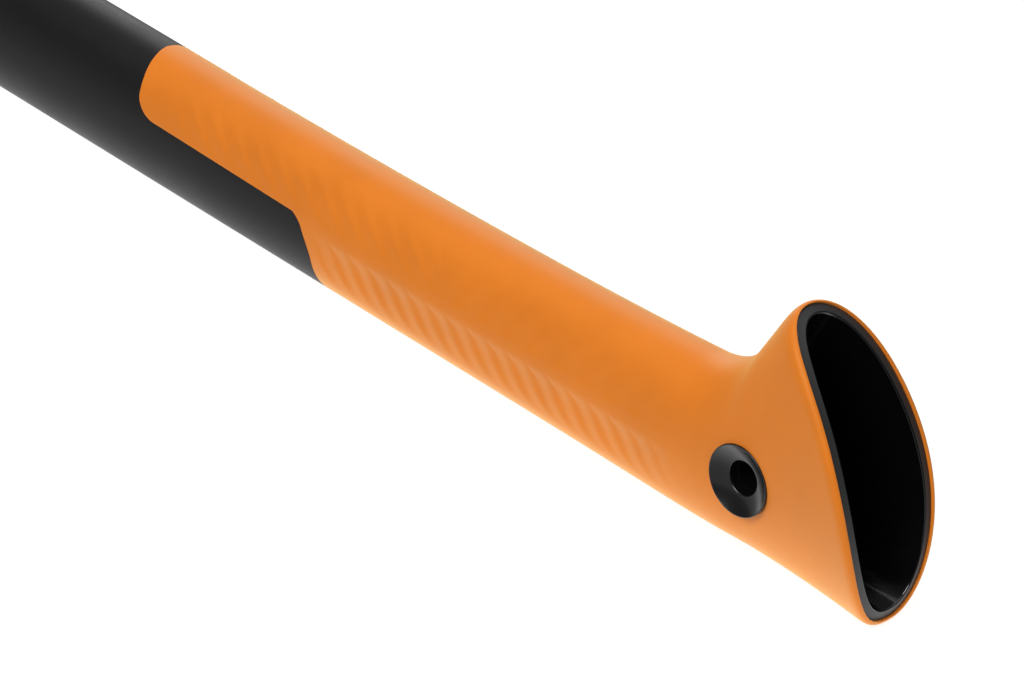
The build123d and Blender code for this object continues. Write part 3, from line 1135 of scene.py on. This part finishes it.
def forged_steel():
    """Dark coating, worn at sharp edges, ground bright at the bevel and the poll."""
    material, tree, shader = new_material("forged_steel", (0.02, 0.02, 0.022), 0.4)
    place = tree.nodes.new("ShaderNodeTexCoord").outputs["Object"]
    axes = coordinates(tree)
    wear = place_group(tree, edge_wear).outputs["Wear"]
    texture = place_group(tree, mould_texture, Grain=900.0, Patch=60.0)
    height = axes["Z"]
    across = math_node(tree, "SUBTRACT", axes["X"], head_middle_x)
    square = math_node(tree, "MULTIPLY", across, across)
    curve = math_node(tree, "MULTIPLY", square, BEVEL_CURVE)
    level = math_node(tree, "ADD", height, curve)
    line = head_high.z - BEVEL_HEIGHT
    ground = between(tree, level, 0.0, 1.0, line - BEVEL_BLUR, line + BEVEL_BLUR)
    poll = math_node(tree, "LESS_THAN", height, POLL_BARE)
    bare = math_node(tree, "MAXIMUM", math_node(tree, "MAXIMUM", ground, wear), poll)
    stretch = tree.nodes.new("ShaderNodeMapping")
    stretch.inputs["Scale"].default_value = GRIND_SCALE
    tree.links.new(place, stretch.inputs["Vector"])
    scratches = noise(tree, stretch.outputs["Vector"], 1.0, 5.0, 0.65)
    steel = mix_color(tree, scratches, *STEEL_SHADES)
    coat = mix_color(tree, texture.outputs["Patches"], *COAT_SHADES)
    tree.links.new(mix_color(tree, bare, coat, steel), shader.inputs["Base Color"])
    tree.links.new(bare, shader.inputs["Metallic"])
    rough = between(tree, bare, COAT_ROUGH, STEEL_ROUGH)
    tree.links.new(rough, shader.inputs["Roughness"])
    marks = math_node(tree, "MULTIPLY", scratches, bare)
    grind = math_node(tree, "MULTIPLY", marks, GRIND_DEPTH)
    forging = math_node(tree, "MULTIPLY", texture.outputs["Patches"], FORGING_DEPTH)
    skin = math_node(tree, "ADD", texture.outputs["Height"], forging)
    add_bump(tree, shader, math_node(tree, "ADD", skin, grind), 0.00004)
    return material


steel_finish = forged_steel()
soft_grip.data.materials.append(orange_rubber)
for finish in (matte_nylon, trimmed_rim, glossy_inside_painted_shade):
    handle_shell.data.materials.append(finish)
# The eyelet's second finish is the bore's painted shade.
for half in (socket_half, plug_half):
    half.data.materials.append(gloss_plastic)
    half.data.materials.append(bore_painted_shade)
axe_head.data.materials.append(steel_finish)
print("finish", steel_finish.name)

# %% [markdown]
# ## The camera
# A long lens from a metre and a half away keeps the handle's edges nearly
# parallel, so the axe doesn't look bent. The camera aims at a point on the
# handle, and is placed by a compass angle, a height angle and a small roll.
# Angles are easier to read and change than a matrix of numbers.

# %% Camera
AIM_ALONG = -87.03
AIM_UP = -5.43
AZIMUTH = math.radians(42.936)
ELEVATION = math.radians(28.900)
ROLL = math.radians(4.671)
DISTANCE = 1.5122
LENS = 219.05
aim = HANDLE @ Vector((AIM_ALONG, 0, AIM_UP))
look = Vector((
    -math.sin(AZIMUTH) * math.cos(ELEVATION),
    math.cos(AZIMUTH) * math.cos(ELEVATION),
    -math.sin(ELEVATION),
))
camera_data = bpy.data.cameras.new("camera")
camera_data.lens = LENS
camera_data.sensor_width = 36.0
camera_data.clip_end = 50.0
camera = bpy.data.objects.new("camera", camera_data)
bpy.context.scene.collection.objects.link(camera)
camera.rotation_mode = "QUATERNION"
upright = look.to_track_quat("-Z", "Y")
camera.rotation_quaternion = upright @ Matrix.Rotation(ROLL, 3, "Z").to_quaternion()
camera.location = aim - look * DISTANCE
bpy.context.scene.camera = camera
print("camera at", tuple(round(c, 3) for c in camera.location))

# %% [markdown]
# ## The floor
# The paper under the axe glows, like a light table, so it stays pale and even.
# It gives the axe another light than the one we look at: a bright strip under
# the handle lights its back from below, and the paper beyond it is much
# dimmer. The Light Path node makes that possible, because it gives a surface
# one brightness for the camera and another for everything else.

# %% Floor
FLOOR = 14.0
FLOOR_SEEN = 0.88
STRIP_GLOW = 1.35           # close under the handle
PAPER_GLOW = 0.24           # further out
STRIP_HALF = 0.014
STRIP_FADE = 0.055
FLOOR_COLOR = (0.22, 0.22, 0.22)
floor_mesh = bpy.data.meshes.new("floor")
corners = [(-FLOOR, -FLOOR, 0), (FLOOR, -FLOOR, 0), (FLOOR, FLOOR, 0), (-FLOOR, FLOOR, 0)]
floor_mesh.from_pydata(corners, [], [(0, 1, 2, 3)])
floor = bpy.data.objects.new("floor", floor_mesh)
bpy.context.scene.collection.objects.link(floor)
floor_finish, floor_tree, floor_shader = new_material("floor_paper", FLOOR_COLOR, 0.9)
floor_shader.inputs["Specular IOR Level"].default_value = 0.0
floor_shader.inputs["Emission Color"].default_value = (1.0, 1.0, 1.0, 1.0)
sideways = math_node(floor_tree, "ABSOLUTE", coordinates(floor_tree)["Y"], 0.0)
strip = between(
    floor_tree, sideways, STRIP_GLOW, PAPER_GLOW, STRIP_HALF, STRIP_FADE, "SMOOTHERSTEP"
)
glow = two_faced(floor_tree, strip, FLOOR_SEEN)
floor_tree.links.new(glow, floor_shader.inputs["Emission Strength"])
floor_mesh.materials.append(floor_finish)
print("floor", 2 * FLOOR, "m wide")

# %% [markdown]
# ## The room
# A plain white room would grey every black part, because black plastic shows
# mostly what it mirrors. So the room is dark at eye level and bright only
# overhead, which gives a soft band along the top of the handle. The camera
# sees an even white in its place, by the same helper as the floor.

# %% World
HORIZON = 0.10
ZENITH = 0.8
RISE_START = 0.45           # height where the room starts to brighten
ROOM_SEEN = 0.97
world = bpy.data.worlds.new("studio")
bpy.context.scene.world = world
world.use_nodes = True
sky = world.node_tree
backdrop = sky.nodes["Background"]
backdrop.inputs["Color"].default_value = (1, 1, 1, 1)
upward = coordinates(sky, "Generated")["Z"]
rise = between(sky, upward, HORIZON, ZENITH, RISE_START, 1.0, "SMOOTHSTEP")
sky.links.new(two_faced(sky, rise, ROOM_SEEN), backdrop.inputs["Strength"])
print("room from", HORIZON, "at eye level to", ZENITH, "overhead")

# %% [markdown]
# ## Soft lights
# Three area lights do the rest: a main one in front, high enough not to glint
# in the eyelet's dish, a wide one overhead, and a weak one behind that keeps
# the far side from going dead. Each is sized by the light it gives at the
# grip, so moving it away doesn't dim it.

# %% Soft lights
def softbox(name, size, direction, distance, level):
    """Area light towards the grip. Level is the light it gives face on."""
    place = aim + Vector(direction).normalized() * distance
    data = bpy.data.lights.new(name, "AREA")
    data.shape = "RECTANGLE"
    data.size, data.size_y = size
    data.energy = level * math.pi**2 * distance**2
    lamp = bpy.data.objects.new(name, data)
    lamp.location = place
    lamp.rotation_mode = "QUATERNION"
    lamp.rotation_quaternion = (aim - place).to_track_quat("-Z", "Y")
    lamp.visible_camera = False
    bpy.context.scene.collection.objects.link(lamp)
    print(name, "watts", round(data.energy, 1))


softbox("near_side", (1.0, 0.6), (0.10, -0.74, 0.66), 1.7, 0.78)
softbox("overhead", (2.4, 1.2), (0.1, 0.1, 1.0), 1.6, 0.27)
softbox("far_side", (1.4, 0.8), (-0.75, 0.62, 0.35), 2.0, 0.34)
bpy.context.scene.view_settings.view_transform = "Standard"
